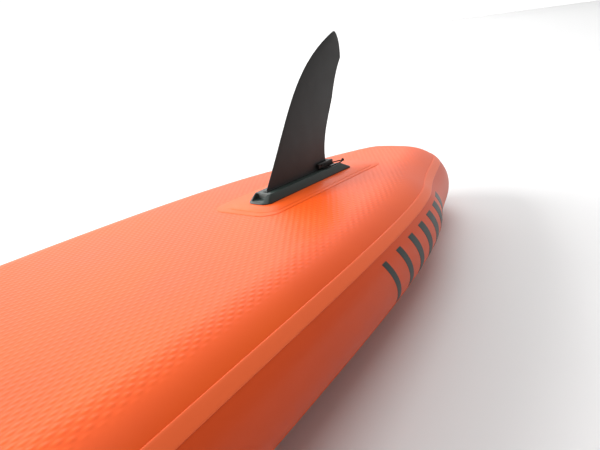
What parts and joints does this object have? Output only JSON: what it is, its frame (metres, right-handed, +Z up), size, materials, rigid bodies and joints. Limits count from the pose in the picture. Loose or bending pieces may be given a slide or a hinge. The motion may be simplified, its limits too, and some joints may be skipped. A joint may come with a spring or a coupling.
{
  "type": "inflatable stand up paddleboard",
  "caption": "Inflatable touring paddleboard lying on its deck, with a slide-in centre fin and its locking clip, deck pad, grab handles, lashing rings and an air valve.",
  "frame": {"origin": "middle of the board's box at the floor it lies on, with the free clip cord left out", "axes": "+X from nose to tail, +Y to the left of someone facing the tail, +Z up out of the hull, fin up"},
  "size_m": [3.5, 0.65, 0.4013],
  "materials": {
    "hull_pvc": "satin coated cloth, orange, dimpled over the drop stitch",
    "rail_pvc": "satin coated cloth, dark orange",
    "tape_pvc": "satin seam tape, orange",
    "core_yarn": "woven polyester",
    "nylon": "moulded nylon, charcoal",
    "box_plastic": "moulded plastic, charcoal",
    "cord": "braided cord, black",
    "webbing": "woven webbing, black",
    "foam": "closed-cell foam, dark grey",
    "steel": "stainless wire",
    "rubber": "moulded rubber, black",
    "valve_plastic": "moulded plastic, grey"
  },
  "bodies": {
    "board": {"hull_panel": "hull_pvc", "deck_panel": "hull_pvc", "fin_patch": "hull_pvc", "handle_patch": "hull_pvc", "nose_handle_patch": "hull_pvc", "leash_patch": "hull_pvc", "tow_patch": "hull_pvc", "bungee_front_left_patch": "hull_pvc", "bungee_front_right_patch": "hull_pvc", "bungee_rear_left_patch": "hull_pvc", "bungee_rear_right_patch": "hull_pvc", "rail_left": "rail_pvc", "rail_right": "rail_pvc", "hull_seam_tape_left": "tape_pvc", "hull_seam_tape_right": "tape_pvc", "deck_seam_tape_left": "tape_pvc", "deck_seam_tape_right": "tape_pvc", "drop_stitch_core": "core_yarn", "fin_box": "box_plastic", "handle_strap": "webbing", "nose_handle_strap": "webbing", "leash_webbing": "webbing", "tow_webbing": "webbing", "bungee_front_left_webbing": "webbing", "bungee_front_right_webbing": "webbing", "bungee_rear_left_webbing": "webbing", "bungee_rear_right_webbing": "webbing", "deck_pad": "foam", "kick_stop": "foam", "valve_spring": "steel", "valve_seal": "rubber", "valve_tether": "rubber", "valve_body": "valve_plastic", "valve_nut": "valve_plastic"},
    "fin": {"fin": "nylon"},
    "clip": {"fin_clip": "nylon", "fin_clip_cord": "cord", "fin_clip_toggle": "cord"},
    "grip": {"handle_grip": "foam"},
    "plunger": {"valve_plunger": "valve_plastic"},
    "cap_ring": {"valve_cap_ring": "rubber"},
    "cap": {"valve_cap": "valve_plastic"},
    "leash": {"leash_ring": "steel"},
    "tow": {"tow_ring": "steel"},
    "bungee_front_left": {"bungee_front_left_ring": "steel"},
    "bungee_front_right": {"bungee_front_right_ring": "steel"},
    "bungee_rear_left": {"bungee_rear_left_ring": "steel"},
    "bungee_rear_right": {"bungee_rear_right_ring": "steel"}
  },
  "joints": [
    {"name": "fin_slide", "type": "slide", "parent": "board", "child": "fin", "axis": [0.9982, 0, -0.0596], "range_m": [0, 0.22]},
    {"name": "clip_lift", "type": "slide", "parent": "fin", "child": "clip", "axis": [0.0596, 0, 0.9982], "range_m": [0, 0.012]},
    {"name": "handle_press", "type": "slide", "parent": "board", "child": "grip", "axis": [0.0271, 0, 0.9996], "range_m": [0, 0.014], "deforming": ["handle_strap"]},
    {"name": "valve_press", "type": "slide", "parent": "board", "child": "plunger", "axis": [0.0655, 0, 0.9979], "range_m": [0, 0.004], "stiffness_N_per_m": 900, "springref_m": -0.003, "deforming": ["valve_spring"]},
    {"name": "cap_lift", "type": "slide", "parent": "board", "child": "cap_ring", "axis": [-0.0655, 0, -0.9979], "range_m": [0, 0.012], "deforming": ["valve_tether"]},
    {"name": "cap_turn", "type": "hinge", "parent": "cap_ring", "child": "cap", "pos_m": [1.39, 0, 0.02089], "axis": [-0.0655, 0, -0.9979], "range_deg": [0, 90]},
    {"name": "leash_swing", "type": "hinge", "parent": "board", "child": "leash", "pos_m": [1.52953, 0, 0.00482], "axis": [0, 1, 0], "range_deg": [0, 170]},
    {"name": "tow_swing", "type": "hinge", "parent": "board", "child": "tow", "pos_m": [-1.50086, 0, 0.18086], "axis": [0, 1, 0], "range_deg": [0, 170]},
    {"name": "bungee_front_left_swing", "type": "hinge", "parent": "board", "child": "bungee_front_left", "pos_m": [-1.03963, 0.12, 0.06318], "axis": [0, 1, 0], "range_deg": [-80, 80]},
    {"name": "bungee_front_right_swing", "type": "hinge", "parent": "board", "child": "bungee_front_right", "pos_m": [-1.03963, -0.12, 0.06318], "axis": [0, 1, 0], "range_deg": [-80, 80]},
    {"name": "bungee_rear_left_swing", "type": "hinge", "parent": "board", "child": "bungee_rear_left", "pos_m": [-0.79983, 0.14, 0.07371], "axis": [0, 1, 0], "range_deg": [-80, 80]},
    {"name": "bungee_rear_right_swing", "type": "hinge", "parent": "board", "child": "bungee_rear_right", "pos_m": [-0.79983, -0.14, 0.07371], "axis": [0, 1, 0], "range_deg": [-80, 80]}
  ]
}
